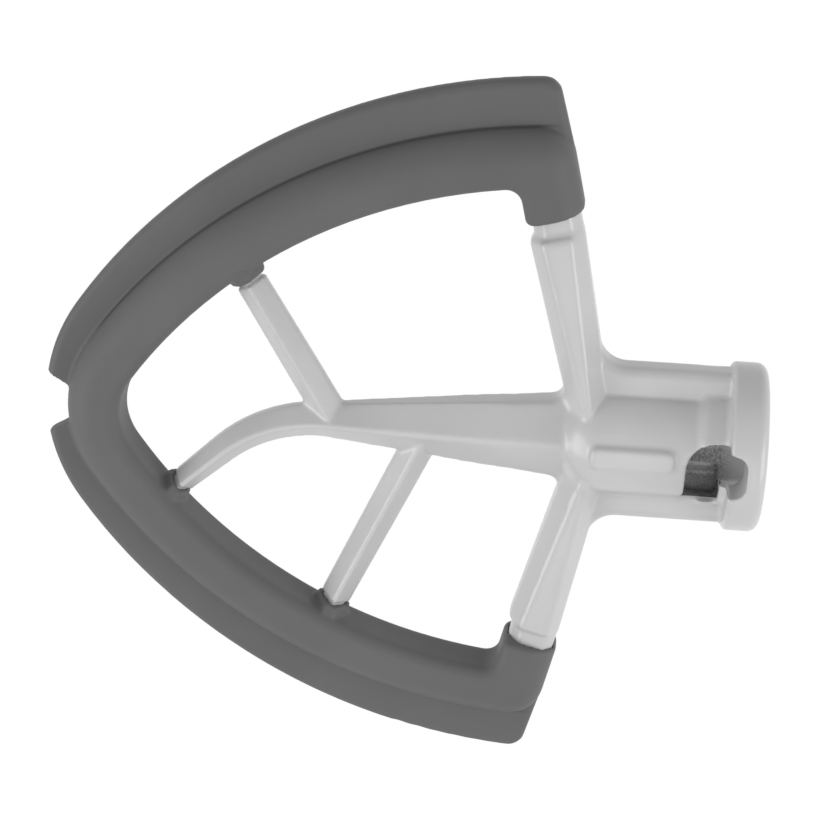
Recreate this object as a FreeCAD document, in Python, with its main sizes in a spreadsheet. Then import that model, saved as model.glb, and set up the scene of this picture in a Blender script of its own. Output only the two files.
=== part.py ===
"""Flat beater of a stand mixer: a coated light-metal casting with a soft moulded edge.

The shaft bore runs along Z with its mouth at the origin, and the beater hangs below it. X runs from arm to
arm, and the bayonet window faces -Y. Sizes are in millimetres and degrees. Depths count downwards from the
mouth of the bore, and a half depth or rise counts from the middle plane of the beater.
"""
import FreeCAD, Part
import math
import os
import Sketcher

DRIVING_SIZES = {
    # hub: collar, step, barrel and the two side flanges
    "collar_diameter": 33.0,
    "collar_height": 7.0,
    "collar_round": 2.2,
    "collar_lip": 1.0,
    "step_diameter": 23.4,
    "step_height": 4.6,
    "step_fillet": 1.0,
    "step_slope": 1.6,
    "barrel_diameter": 21.6,
    "barrel_length": 40.0,
    "barrel_round": 9.0,
    "flange_span": 31.4,
    "flange_thickness": 7.0,
    "flange_round": 2.0,
    "flange_lip": 4.8,
    "pocket_depth": 1.6,
    "pocket_end_depth": 30.0,
    "pocket_corner": 2.0,
    "flange_arm_fillet": 5.6,
    "arm_stem_fillet": 2.8,
    # rib on the front of the barrel
    "rib_width": 4.7,
    "rib_start_depth": 17.2,
    "rib_length": 16.2,
    "rib_rise": 1.2,
    "rib_corner": 1.6,
    "rib_round": 0.9,
    # shaft bore and keyway
    "bore_diameter": 12.9,
    "bore_depth": 35.0,
    "bore_point": 2.0,
    "keyway_width": 5.4,
    "keyway_radius": 9.6,
    "keyway_angle": 48.0,
    "track_radius": 9.2,
    "track_turn": 120.0,
    # bayonet window with its notch and hook
    "window_left": 4.3,
    "window_right": 10.2,
    "window_top_depth": 8.3,
    "window_bottom_depth": 14.9,
    "window_floor": 3.0,
    "window_corner": 6.0,
    "notch_left": 4.0,
    "notch_right": 4.8,
    "notch_top_depth": 3.6,
    "notch_corner": 2.6,
    "hook_tip": 4.2,
    "hook_top_depth": 6.9,
    # arms: their axis meets the hub's axis at arm_depth
    "arm_depth": 32.5,
    "arm_slope": 13.4,
    "arm_root_reach": 4.0,
    "arm_reach": 42.4,
    "arm_root_width": 7.5,
    "arm_end_width": 10.7,
    "arm_root_rise": 8.2,
    "arm_end_rise": 6.3,
    "arm_root_flat": 0.8,
    "arm_end_flat": 5.6,
    "arm_root_side": 7.0,
    "arm_end_side": 4.0,
    # stem: straight and tapered, then bent towards one side of the arch
    "stem_start_depth": 36.0,
    "stem_start_width": 16.8,
    "stem_start_rise": 7.6,
    "stem_start_flat": 1.2,
    "stem_start_side": 6.5,
    "stem_side_flat": 2.0,
    "stem_bend_depth": 86.0,
    "stem_bend_width": 6.9,
    "stem_bend_rise": 4.4,
    "stem_bend_flat": 0.7,
    "stem_bend_radius": 30.0,
    "stem_turn": 42.0,
    "stem_end_width": 4.9,
    "stem_end_rise": 4.0,
    # cross bars from the stem to the arch
    "left_bar_depth": 84.0,
    "left_bar_slope": 31.2,
    "right_bar_depth": 65.2,
    "right_bar_slope": 24.7,
    "bar_root_width": 6.8,
    "bar_end_width": 6.1,
    "bar_rise": 4.0,
    "bar_flat": 0.6,
    "bar_side_flat": 1.6,
    # arch: two side arcs joined by a small arc at the tip
    "arch_radius": 108.0,
    "arch_centre_offset": 51.5,
    "arch_centre_depth": 40.0,
    "tip_radius": 18.0,
    # sleeve of the soft edge and the metal loop inside it
    "sleeve_width": 11.2,
    "sleeve_thickness": 12.8,
    "sleeve_shift": 0.6,
    "sleeve_wall": 0.9,
    "cuff_shift": 0.5,
    "sleeve_mouth_round": 1.2,
    "sleeve_outer_round": 6.8,
    "sleeve_inner_round": 2.6,
    "sleeve_back_round": 3.6,
    "sleeve_heel_round": 3.2,
    "sleeve_outer_corner": 7.2,
    "sleeve_inner_corner": 3.0,
    "loop_flat": 5.0,
    "loop_side_flat": 4.0,
    "neck_gap": 3.4,
    # fins and the notch between them at the tip
    "fin_width": 8.7,
    "fin_narrowing": 5.9,
    "fin_thickness": 4.0,
    "fin_front_round": 1.6,
    "fin_back_round": 0.8,
    "fin_corner": 3.4,
    "fin_drop": 0.6,
    "fin_setback": 0.8,
    "fin_tip_radius": 36.6,
    "tip_notch_half": 6.4,
    "tip_notch_slope": 30.0,
    # collars of the soft edge round the bars and round the stem
    "boss_wall": 0.4,
    "boss_flat": 1.8,
    "boss_flare": 2.2,
    "boss_length": 1.9,
    "boss_root_reach": 3.0,
    "boss_root_sink": 0.2,
    "shoulder_gap": 0.8,
    "neck_step": 0.7,
}

WORKED_OUT = {
    "collar_radius": "collar_diameter / 2",
    "collar_face_radius": "collar_radius - collar_round",
    "collar_lip_radius": "collar_radius - collar_lip",
    "collar_lip_depth": "collar_height - collar_lip",
    "step_radius": "step_diameter / 2",
    "step_fillet_radius": "step_radius + step_fillet",
    "step_fillet_depth": "collar_height + step_fillet",
    "step_foot_depth": "collar_height + step_height",
    "barrel_radius": "barrel_diameter / 2",
    "barrel_top_depth": "step_foot_depth + step_slope",
    "barrel_end_radius": "barrel_radius - barrel_round",
    "barrel_side_depth": "barrel_length - barrel_round",
    "bore_radius": "bore_diameter / 2",
    "bore_point_depth": "bore_depth + bore_point",
    "keyway_half": "keyway_width / 2",
    "keyway_depth": "window_top_depth + keyway_half",
    "track_middle": "track_turn / 2 - 90",
    "rib_half": "rib_width / 2",
    "rib_end_depth": "rib_start_depth + rib_length",
    "rib_flat_half": "rib_half - rib_corner",
    "rib_side_start_depth": "rib_start_depth + rib_corner",
    "rib_side_end_depth": "rib_end_depth - rib_corner",
    "rib_top": "barrel_radius + rib_rise",
    "window_cut": "collar_radius",
    "window_shoulder_depth": "window_bottom_depth - window_corner",
    "window_round_x": "window_corner - window_left",
    "notch_shoulder_depth": "notch_top_depth + notch_corner",
    "notch_right_round": "notch_right - notch_corner",
    "notch_left_round": "notch_corner - notch_left",
    "arm_spread": "(arm_end_width - arm_root_width) / 2 / (arm_reach - arm_root_reach)",
    "arm_turn": "90 + arm_slope",
    "stem_taper": "(stem_start_width - stem_bend_width) / 2 / (stem_bend_depth - stem_start_depth)",
    "arch_tip_drop": "sqrt((arch_radius - tip_radius)^2 - arch_centre_offset^2)",
    "tip_centre_depth": "arch_centre_depth + arch_tip_drop",
    "tangent_x": "arch_centre_offset / (arch_radius - tip_radius)",
    "tangent_drop": "arch_tip_drop / (arch_radius - tip_radius)",
    "sleeve_half": "sleeve_width / 2",
    "sleeve_rise": "sleeve_thickness / 2",
    "sleeve_front": "sleeve_rise + sleeve_shift",
    "sleeve_back": "sleeve_rise - sleeve_shift",
    "sleeve_top": "sleeve_half + cuff_shift",
    "sleeve_low": "sleeve_half - cuff_shift",
    "outer_radius": "arch_radius + sleeve_half",
    "inner_radius": "arch_radius - sleeve_half",
    "outer_tip_radius": "tip_radius + sleeve_half",
    "inner_tip_radius": "tip_radius - sleeve_half",
    "loop_half": "sleeve_half - sleeve_wall",
    "loop_rise": "sleeve_back - sleeve_wall",
    "loop_corner": "sleeve_inner_corner + sleeve_half",
    "arch_along": "-arch_centre_offset * cos(arm_slope) + (arch_centre_depth - arm_depth) * sin(arm_slope)",
    "arch_across": "-arch_centre_offset * sin(arm_slope) - (arch_centre_depth - arm_depth) * cos(arm_slope)",
    "mouth_reach": "arm_reach + neck_gap",
    "neck_start_reach": "arm_reach - neck_gap",
    "outer_corner_reach": "arch_along + sqrt(outer_radius^2 - (sleeve_top - arch_across)^2)",
    "inner_corner_reach": "arch_along + sqrt(inner_radius^2 - (sleeve_low + arch_across)^2)",
    "fin_foot_reach": "arch_along + sqrt(arch_radius^2 - (sleeve_top - arch_across)^2)",
    "loop_drop": "loop_corner - cuff_shift",
    "loop_turn_reach": "arch_along + sqrt((arch_radius - loop_corner)^2 - (loop_drop + arch_across)^2)",
    "loop_turn_x": "loop_turn_reach * cos(arm_slope) - loop_drop * sin(arm_slope)",
    "loop_turn_depth": "arm_depth + loop_turn_reach * sin(arm_slope) + loop_drop * cos(arm_slope)",
    "loop_arch_share": "arch_radius / (arch_radius - loop_corner)",
    "loop_arch_x": "(loop_turn_x + arch_centre_offset) * loop_arch_share - arch_centre_offset",
    "loop_arch_depth": "(loop_turn_depth - arch_centre_depth) * loop_arch_share + arch_centre_depth",
    "fin_radius": "outer_radius + fin_width - fin_narrowing",
    "fin_centre_offset": "arch_centre_offset - fin_narrowing",
    "fin_along": "arch_along + fin_narrowing * cos(arm_slope)",
    "fin_across": "arch_across + fin_narrowing * sin(arm_slope)",
    "fin_top": "sleeve_top - fin_drop",
    "fin_corner_reach": "fin_along + sqrt(fin_radius^2 - (fin_top - fin_across)^2)",
    "fin_rise": "fin_thickness / 2",
    "fin_front": "fin_rise - fin_setback",
    "fin_back": "fin_rise + fin_setback",
    "fin_tip_drop": "sqrt((fin_radius - fin_tip_radius)^2 - fin_centre_offset^2)",
    "fin_tip_centre": "arch_centre_depth + fin_tip_drop",
    "fin_tangent_x": "fin_radius * fin_centre_offset / (fin_radius - fin_tip_radius) - fin_centre_offset",
    "fin_tangent_depth": "arch_centre_depth + fin_radius * fin_tip_drop / (fin_radius - fin_tip_radius)",
    "notch_end_depth": "fin_tip_centre + sqrt(fin_tip_radius^2 - tip_notch_half^2)",
    "notch_root_depth": "tip_centre_depth + tip_radius",
    "notch_root_half": "tip_notch_half - (notch_end_depth - notch_root_depth) * tan(tip_notch_slope)",
    "bend_end_x": "stem_bend_radius * (1 - cos(stem_turn))",
    "bend_end_depth": "stem_bend_depth + stem_bend_radius * sin(stem_turn)",
    "stem_fall": "90 - stem_turn",
    "web_top_depth": "collar_height / 2",
    "flange_half": "flange_span / 2",
    "flange_rise": "flange_thickness / 2",
    "pocket_half": "flange_half - flange_lip",
    "pocket_floor_half": "pocket_half - pocket_corner",
    "pocket_side_depth": "pocket_end_depth - pocket_corner",
    "web_corner_half": "arm_root_width / 2 + arm_spread * (flange_half / cos(arm_slope) - arm_root_reach)",
    "web_corner_depth": "arm_depth + flange_half * tan(arm_slope) - web_corner_half / cos(arm_slope)",
    "web_arm_reach": "flange_half / cos(arm_slope) + flange_arm_fillet",
    "web_arm_half": "arm_root_width / 2 + arm_spread * (web_arm_reach - arm_root_reach)",
    "web_arm_end": "web_arm_reach + flange_arm_fillet",
    "web_stem_x": "stem_start_width / 2 - stem_taper * (web_stem_depth - stem_start_depth)",
    "web_stem_depth": "arm_depth + stem_start_width / 2 * tan(arm_slope) + arm_root_width / 2 / cos(arm_slope)",
    "web_tail_depth": "web_stem_depth + 2 * arm_stem_fillet",
    "web_tail_x": "stem_start_width / 2 - stem_taper * (web_tail_depth - stem_start_depth)",
    "web_tip_depth": "web_tail_depth + stem_start_width / 2",
}


def add_arm_point(name, along, across):
    """Adds the place of a point given along and across the axis of the right arm."""
    WORKED_OUT[name + "_x"] = f"({along}) * cos(arm_slope) + ({across}) * sin(arm_slope)"
    WORKED_OUT[name + "_depth"] = f"arm_depth + ({along}) * sin(arm_slope) - ({across}) * cos(arm_slope)"


def add_tangent_point(name, radius):
    """Adds the point where a side arc of this radius meets the arc round the tip."""
    WORKED_OUT[name + "_x"] = f"{radius} * tangent_x - arch_centre_offset"
    WORKED_OUT[name + "_depth"] = f"arch_centre_depth + {radius} * tangent_drop"


def add_ray(name, start_x, start_depth, slope):
    """Adds the places of a bar that falls at this slope: its seat in the arch, its collar and its shoulder."""
    aside, below = f"(arch_centre_offset + {start_x})", f"(arch_centre_depth - {start_depth})"
    along = f"({below} * sin({slope}) - {aside} * cos({slope}))"
    across = f"({aside} * sin({slope}) + {below} * cos({slope}))"
    WORKED_OUT[name + "_seat"] = f"{along} + sqrt(arch_radius^2 - {across}^2)"
    WORKED_OUT[name + "_face"] = f"{along} + sqrt(inner_radius^2 - {across}^2)"
    WORKED_OUT[name + "_root"] = f"{name}_face + boss_root_reach"
    WORKED_OUT[name + "_mouth"] = f"{name}_face - boss_length"
    WORKED_OUT[name + "_shoulder"] = f"{name}_mouth - shoulder_gap"
    WORKED_OUT[name + "_turn"] = f"90 + {slope}"
    for place in ("seat", "root", "mouth", "shoulder"):
        WORKED_OUT[f"{name}_{place}_x"] = f"{start_x} + {name}_{place} * cos({slope})"
        WORKED_OUT[f"{name}_{place}_depth"] = f"{start_depth} + {name}_{place} * sin({slope})"


def add_section(name, width, side_flat, flat, rise, grow="0"):
    """Adds the half sizes of an eight-sided section, with its width and rise grown by an allowance."""
    WORKED_OUT[name + "_half"] = f"{width} / 2 + ({grow})"
    WORKED_OUT[name + "_side"] = f"{side_flat} / 2"
    WORKED_OUT[name + "_flat"] = f"{flat} / 2"
    WORKED_OUT[name + "_rise"] = f"{rise} + ({grow})"


def add_boss_sections(name, width, side_flat, flat, rise):
    """Adds the two sections of a collar round a bar: close at its mouth, flared where it joins the sleeve."""
    front = f"({flat} + boss_flat)"
    flared = f"({width} + 2 * boss_flare)"
    add_section(name + "_mouth_cut", width, side_flat, front, rise, "boss_wall")
    add_section(name + "_root_cut", flared, side_flat, front, "sleeve_rise", "-boss_root_sink")


add_arm_point("mouth_top", "mouth_reach", "sleeve_top")
add_arm_point("mouth_low", "mouth_reach", "-sleeve_low")
add_arm_point("outer_corner", "outer_corner_reach", "sleeve_top")
add_arm_point("inner_corner", "inner_corner_reach", "-sleeve_low")
add_arm_point("fin_foot", "fin_foot_reach", "sleeve_top")
add_arm_point("fin_end", "fin_corner_reach", "fin_top")
add_arm_point("neck_start", "neck_start_reach", "cuff_shift")
add_arm_point("loop_bend", "loop_turn_reach", "cuff_shift")
add_arm_point("arm_root", "arm_root_reach", "0")
add_arm_point("arm_end", "arm_reach", "0")
add_arm_point("web_arm_top", "web_arm_reach", "web_arm_half")
add_arm_point("web_arm_low", "web_arm_reach", "-web_arm_half")
add_arm_point("web_arm_tip", "web_arm_end", "0")
add_tangent_point("outer_tip", "outer_radius")
add_tangent_point("inner_tip", "inner_radius")
add_tangent_point("arch_tip", "arch_radius")
add_ray("left_bar", "0", "left_bar_depth", "left_bar_slope")
add_ray("right_bar", "0", "right_bar_depth", "right_bar_slope")
add_ray("stem_run", "bend_end_x", "bend_end_depth", "stem_fall")
add_section("arm_root_cut", "arm_root_width", "arm_root_side", "arm_root_flat", "arm_root_rise")
add_section("arm_end_cut", "arm_end_width", "arm_end_side", "arm_end_flat", "arm_end_rise")
add_section("stem_start_cut", "stem_start_width", "stem_start_side", "stem_start_flat", "stem_start_rise")
add_section("stem_bend_cut", "stem_bend_width", "stem_side_flat", "stem_bend_flat", "stem_bend_rise")
add_section("stem_end_cut", "stem_end_width", "stem_side_flat", "stem_bend_flat", "stem_end_rise")
add_section("stem_neck_cut", "stem_end_width", "stem_side_flat", "stem_bend_flat", "stem_end_rise", "-neck_step")
add_boss_sections("stem_boss", "stem_end_width", "stem_side_flat", "stem_bend_flat", "stem_end_rise")
add_section("bar_root_cut", "bar_root_width", "bar_side_flat", "bar_flat", "bar_rise")
add_section("bar_end_cut", "bar_end_width", "bar_side_flat", "bar_flat", "bar_rise")
add_section("bar_neck_cut", "bar_end_width", "bar_side_flat", "bar_flat", "bar_rise", "-neck_step")
add_boss_sections("bar_boss", "bar_end_width", "bar_side_flat", "bar_flat", "bar_rise")
add_section("loop_cut", "2 * loop_half", "loop_side_flat", "loop_flat", "loop_rise")

ON_AXIS = "on_axis"
LEFT_TURN = 1
RIGHT_TURN = -1
TINY = 1e-3

doc = FreeCAD.newDocument("flat_beater")
sheet = doc.addObject("Spreadsheet::Sheet", "Sizes")


def fill_sheet():
    """Writes the driving sizes as numbers and the worked-out ones as formulas, each with its alias."""
    rows = [(name, str(size)) for name, size in DRIVING_SIZES.items()]
    rows += [(name, "=" + formula) for name, formula in WORKED_OUT.items()]
    for row, (name, content) in enumerate(rows, start=1):
        sheet.set(f"A{row}", name)
        sheet.setAlias(f"B{row}", name)
    for row, (name, content) in enumerate(rows, start=1):
        sheet.set(f"B{row}", content)
    doc.recompute()


def size(name):
    """Value of a sheet cell, with an optional minus before its name."""
    if name == ON_AXIS:
        return 0.0
    if name.startswith("-"):
        return -float(sheet.get(name[1:]))
    return float(sheet.get(name))


def cell(name):
    """Expression that reads a sheet cell, with an optional minus before its name."""
    if name.startswith("-"):
        return f"-Sizes.{name[1:]}"
    return f"Sizes.{name}"


def origin_part(body, role):
    return next(part for part in body.Origin.OriginFeatures if part.Role == role)


def new_sketch(body, role, name):
    sketch = body.newObject("Sketcher::SketchObject", name)
    sketch.AttachmentSupport = [(origin_part(body, role), "")]
    sketch.MapMode = "FlatFace"
    return sketch


def front_sketch(body, name, rise):
    """Sketch in a plane that stands this far in front of the middle plane."""
    sketch = new_sketch(body, "XZ_Plane", name)
    sketch.AttachmentOffset = FreeCAD.Placement(FreeCAD.Vector(0, 0, size(rise)), FreeCAD.Rotation())
    sketch.setExpression("AttachmentOffset.Base.z", cell(rise))
    return sketch


def curve(start, end, bow):
    """Line between two points, or the shorter arc of a radius that turns left or right on its way."""
    if bow is None:
        return Part.LineSegment(start, end)
    radius, turn = size(bow[0]), bow[1]
    chord = end - start
    rise = max(radius ** 2 - chord.Length ** 2 / 4, TINY) ** 0.5
    side = FreeCAD.Vector(-chord.y, chord.x, 0).normalize() * turn
    centre = (start + end) / 2 + side * rise
    first, last = (start, end) if turn == LEFT_TURN else (end, start)
    circle = Part.Circle(centre, FreeCAD.Vector(0, 0, 1), radius)
    return Part.ArcOfCircle(circle, circle.parameter(first), circle.parameter(last))


def bind_place(sketch, geometry, end, axis, name):
    """Holds one coordinate of a point at the value of a sheet cell."""
    if name == ON_AXIS:
        across = -2 if axis == "X" else -1
        sketch.addConstraint(Sketcher.Constraint("PointOnObject", geometry, end, across))
        return
    plain = name.lstrip("-")
    points = (geometry, end, -1, 1) if name.startswith("-") else (-1, 1, geometry, end)
    row = sketch.addConstraint(Sketcher.Constraint("Distance" + axis, *points, abs(size(plain))))
    sketch.setExpression(f"Constraints[{row}]", cell(plain))


def draw(sketch, corners, closed=True):
    """Draws an outline, or an open path, through corners given as x, y and the bow of the edge that follows."""
    points = [FreeCAD.Vector(size(x), size(y), 0) for x, y, bow in corners]
    count = len(corners) if closed else len(corners) - 1
    ends = []
    for index in range(count):
        bow = corners[index][2]
        geometry = sketch.addGeometry(curve(points[index], points[(index + 1) % len(points)], bow), False)
        turned = bow is not None and bow[1] == RIGHT_TURN
        ends.append((geometry, 2, 1) if turned else (geometry, 1, 2))
    for index in range(count if closed else count - 1):
        here, after = ends[index], ends[(index + 1) % count]
        sketch.addConstraint(Sketcher.Constraint("Coincident", here[0], here[2], after[0], after[1]))
    for index in range(len(corners)):
        geometry, first, last = ends[min(index, count - 1)]
        end = first if index < count else last
        bind_place(sketch, geometry, end, "X", corners[index][0])
        bind_place(sketch, geometry, end, "Y", corners[index][1])
    for (geometry, first, last), (x, y, bow) in zip(ends, corners):
        if bow is not None:
            row = sketch.addConstraint(Sketcher.Constraint("Radius", geometry, size(bow[0])))
            sketch.setExpression(f"Constraints[{row}]", cell(bow[0]))
    return sketch


def mirrored(corners):
    """Corners of the right half, followed by the same ones on the left in reverse order."""
    bows = [bow for x, y, bow in corners]
    left = []
    for index in range(len(corners) - 1, -1, -1):
        x, y, bow = corners[index]
        if x == ON_AXIS:
            continue
        left.append(("-" + x, y, bows[index - 1] if index else None))
    return corners + left


def new_section(body, name, sizes, x=None, depth=None, turn=None, forward=None):
    """Eight-sided section across a bar, set on its axis or forward of it, and turned about the Y axis."""
    sketch = new_sketch(body, "XY_Plane", name)
    angle = size(turn) if turn else 0.0
    place = FreeCAD.Vector(size(x) if x else 0.0, -size(forward) if forward else 0.0, -size(depth))
    sketch.AttachmentOffset = FreeCAD.Placement(place, FreeCAD.Rotation(FreeCAD.Vector(0, 1, 0), angle))
    if x:
        sketch.setExpression("AttachmentOffset.Base.x", cell(x))
    sketch.setExpression("AttachmentOffset.Base.z", cell("-" + depth))
    if forward:
        sketch.setExpression("AttachmentOffset.Base.y", cell("-" + forward))
    if turn:
        sketch.setExpression("AttachmentOffset.Rotation.Angle", cell(turn))
    half, side, flat, rise = (sizes + part for part in ("_half", "_side", "_flat", "_rise"))
    return draw(sketch, [
        (half, "-" + side, None),
        (half, side, None),
        (flat, rise, None),
        ("-" + flat, rise, None),
        ("-" + half, side, None),
        ("-" + half, "-" + side, None),
        ("-" + flat, "-" + rise, None),
        (flat, "-" + rise, None),
    ])


def add_feature(body, kind, name, **settings):
    feature = body.newObject("PartDesign::" + kind, name)
    for setting, setting_value in settings.items():
        setattr(feature, setting, setting_value)
    return feature


def add_pad(body, name, sketch, length, symmetric=False):
    pad = add_feature(body, "Pad", name, Profile=sketch)
    if symmetric:
        pad.SideType = "Symmetric"
    pad.setExpression("Length", cell(length))
    doc.recompute()
    return pad


def add_loft(body, name, sections):
    loft = add_feature(body, "AdditiveLoft", name, Profile=sections[0], Sections=sections[1:], Ruled=True)
    doc.recompute()
    return loft


def add_fillet(body, name, base, radius, wanted):
    """Rounds those edges of a feature that the test called wanted picks."""
    picked = [f"Edge{row}" for row, edge in enumerate(base.Shape.Edges, start=1) if wanted(edge)]
    fillet = add_feature(body, "Fillet", name, Base=(base, picked))
    fillet.setExpression("Radius", cell(radius))
    doc.recompute()
    return fillet


def upright_at(*places):
    """Test for edges along Y whose x and depth, both named in the sheet, are one of these places."""
    spots = [(sign * size(x), -size(depth)) for x, depth in places for sign in (1, -1)]

    def wanted(edge):
        first, last = edge.Vertexes[0].Point, edge.Vertexes[-1].Point
        if abs(first.x - last.x) > TINY or abs(first.z - last.z) > TINY:
            return False
        return any(abs(first.x - x) < TINY and abs(first.z - z) < TINY for x, z in spots)
    return wanted


def rim(levels, inside=None):
    """Test for edges that lie in a face at one of these named levels along Y, and pass a further test."""
    def wanted(edge):
        middle = edge.valueAt((edge.FirstParameter + edge.LastParameter) / 2)
        places = [vertex.Point.y for vertex in edge.Vertexes] + [middle.y]
        level = any(all(abs(place - size(name)) < TINY for place in places) for name in levels)
        return level and (inside is None or inside(edge))
    return wanted


def round_of(*names):
    """Test for edges that are arcs of one of these radii."""
    def wanted(edge):
        return hasattr(edge.Curve, "Radius") and any(abs(edge.Curve.Radius - size(name)) < TINY for name in names)
    return wanted


def add_hub(body):
    """Web of flanges and fillets, the turned collar and barrel, and the rib on the front."""
    web = draw(new_sketch(body, "XZ_Plane", "web_outline"), mirrored([
        ("flange_half", "-web_top_depth", None),
        ("flange_half", "-web_corner_depth", None),
        ("web_arm_top_x", "-web_arm_top_depth", None),
        ("web_arm_tip_x", "-web_arm_tip_depth", None),
        ("web_arm_low_x", "-web_arm_low_depth", None),
        ("web_stem_x", "-web_stem_depth", None),
        ("web_tail_x", "-web_tail_depth", None),
        (ON_AXIS, "-web_tip_depth", None),
    ]))
    plate = add_pad(body, "web", web, "flange_thickness", symmetric=True)
    flange_corners = add_fillet(
        body, "flange_arm_fillets", plate, "flange_arm_fillet", upright_at(("flange_half", "web_corner_depth")))
    stem_corners = add_fillet(
        body, "arm_stem_fillets", flange_corners, "arm_stem_fillet", upright_at(("web_stem_x", "web_stem_depth")))
    add_fillet(body, "flange_edges", stem_corners, "flange_round", rim(["flange_rise", "-flange_rise"]))
    cut_flange_pockets(body)
    turned = draw(new_sketch(body, "XZ_Plane", "hub_profile"), [
        (ON_AXIS, ON_AXIS, None),
        ("collar_face_radius", ON_AXIS, ("collar_round", RIGHT_TURN)),
        ("collar_radius", "-collar_round", None),
        ("collar_radius", "-collar_lip_depth", ("collar_lip", RIGHT_TURN)),
        ("collar_lip_radius", "-collar_height", None),
        ("step_fillet_radius", "-collar_height", ("step_fillet", LEFT_TURN)),
        ("step_radius", "-step_fillet_depth", None),
        ("step_radius", "-step_foot_depth", None),
        ("barrel_radius", "-barrel_top_depth", None),
        ("barrel_radius", "-barrel_side_depth", ("barrel_round", RIGHT_TURN)),
        ("barrel_end_radius", "-barrel_length", None),
        (ON_AXIS, "-barrel_length", None),
    ])
    add_feature(body, "Revolution", "hub", Profile=turned, ReferenceAxis=(turned, ["V_Axis"]), Angle=360.0)
    doc.recompute()


def cut_flange_pockets(body):
    """Shallow pockets, front and back, that leave a raised lip along each flange."""
    plan = draw(front_sketch(body, "pocket_outline", "flange_rise"), [
        ("pocket_half", "-web_top_depth", None),
        ("-pocket_half", "-web_top_depth", None),
        ("-pocket_half", "-pocket_side_depth", ("pocket_corner", LEFT_TURN)),
        ("-pocket_floor_half", "-pocket_end_depth", None),
        ("pocket_floor_half", "-pocket_end_depth", ("pocket_corner", LEFT_TURN)),
        ("pocket_half", "-pocket_side_depth", None),
    ])
    front = add_feature(body, "Pocket", "front_pockets", Profile=plan)
    front.setExpression("Length", cell("pocket_depth"))
    doc.recompute()
    back = add_feature(
        body, "Mirrored", "back_pockets", Originals=[front], MirrorPlane=(origin_part(body, "XZ_Plane"), [""]))
    body.Tip = back
    doc.recompute()


def add_arms(body):
    """Right arm as a loft from a ridged root to a broad shoulder, and its mirror image."""
    root = new_section(body, "arm_root_sketch", "arm_root_cut", "arm_root_x", "arm_root_depth", "arm_turn")
    shoulder = new_section(body, "arm_end_sketch", "arm_end_cut", "arm_end_x", "arm_end_depth", "arm_turn")
    arm = add_loft(body, "right_arm", [root, shoulder])
    add_feature(
        body, "Mirrored", "left_arm", Originals=[arm], MirrorPlane=(origin_part(body, "YZ_Plane"), [""]))
    body.Tip = body.getObject("left_arm")
    doc.recompute()


def add_stem(body):
    """Tapered stem, straight from the hub and then swept round its bend into the arch."""
    start = new_section(body, "stem_start_sketch", "stem_start_cut", depth="stem_start_depth")
    straight_end = new_section(body, "stem_bend_sketch", "stem_bend_cut", depth="stem_bend_depth")
    add_loft(body, "stem", [start, straight_end])
    route = draw(new_sketch(body, "XZ_Plane", "stem_route"), [
        (ON_AXIS, "-stem_bend_depth", ("stem_bend_radius", LEFT_TURN)),
        ("bend_end_x", "-bend_end_depth", None),
        ("stem_run_shoulder_x", "-stem_run_shoulder_depth", None),
    ], closed=False)
    bend_start = new_section(body, "stem_curve_sketch", "stem_bend_cut", depth="stem_bend_depth")
    bend_end = new_section(
        body, "stem_end_sketch", "stem_end_cut", "stem_run_shoulder_x", "stem_run_shoulder_depth", "-stem_turn")
    add_sweep(body, "stem_curve", bend_start, route, [bend_end])
    add_neck(body, "stem_neck", "stem_neck_cut", "stem_run")


def add_bars(body):
    """Cross bars from the stem to both sides of the arch, each with a narrower neck inside the soft edge."""
    for name, side in (("left_bar", "-"), ("right_bar", "")):
        turn = side + name + "_turn"
        root = new_section(body, name + "_root_sketch", "bar_root_cut", None, name + "_depth", turn)
        end = new_section(
            body, name + "_end_sketch", "bar_end_cut", f"{side}{name}_shoulder_x", name + "_shoulder_depth", turn)
        add_loft(body, name, [root, end])
        add_neck(body, name + "_neck", "bar_neck_cut", name, side)


def add_neck(body, name, sizes, ray, side=""):
    """Prism from just inside the shoulder of a bar to its seat in the arch."""
    turn = f"{side}{ray}_turn"
    inner = new_section(body, name + "_start", sizes, f"{side}{ray}_shoulder_x", ray + "_shoulder_depth", turn)
    outer = new_section(body, name + "_end", sizes, f"{side}{ray}_seat_x", ray + "_seat_depth", turn)
    add_loft(body, name, [inner, outer])


def add_sweep(body, name, profile, route, sections=()):
    sweep = add_feature(body, "AdditivePipe", name, Profile=profile, Spine=(route, [""]))
    if sections:
        sweep.Transformation = "Multisection"
        sweep.Sections = list(sections)
    doc.recompute()
    return sweep


def add_loop(body):
    """Metal loop inside the soft edge: from the neck of one arm round the tip to the neck of the other."""
    half_route = [
        ("neck_start_x", "-neck_start_depth", None),
        ("loop_bend_x", "-loop_bend_depth", ("loop_corner", RIGHT_TURN)),
        ("loop_arch_x", "-loop_arch_depth", ("arch_radius", RIGHT_TURN)),
        ("arch_tip_x", "-arch_tip_depth", ("tip_radius", RIGHT_TURN)),
    ]
    route = draw(new_sketch(body, "XZ_Plane", "loop_route"), mirrored(half_route), closed=False)
    profile = new_section(body, "loop_sketch", "loop_cut", "neck_start_x", "neck_start_depth", "arm_turn")
    add_sweep(body, "loop", profile, route)


def add_rib(body):
    """Rounded rib along the front of the barrel."""
    half_outline = [
        ("rib_flat_half", "-rib_start_depth", ("rib_corner", RIGHT_TURN)),
        ("rib_half", "-rib_side_start_depth", None),
        ("rib_half", "-rib_side_end_depth", ("rib_corner", RIGHT_TURN)),
        ("rib_flat_half", "-rib_end_depth", None),
    ]
    plan = draw(new_sketch(body, "XZ_Plane", "rib_outline"), mirrored(half_outline))
    rib = add_pad(body, "rib", plan, "rib_top")
    add_fillet(body, "rib_edges", rib, "rib_round", rim(["-rib_top"]))


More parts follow.
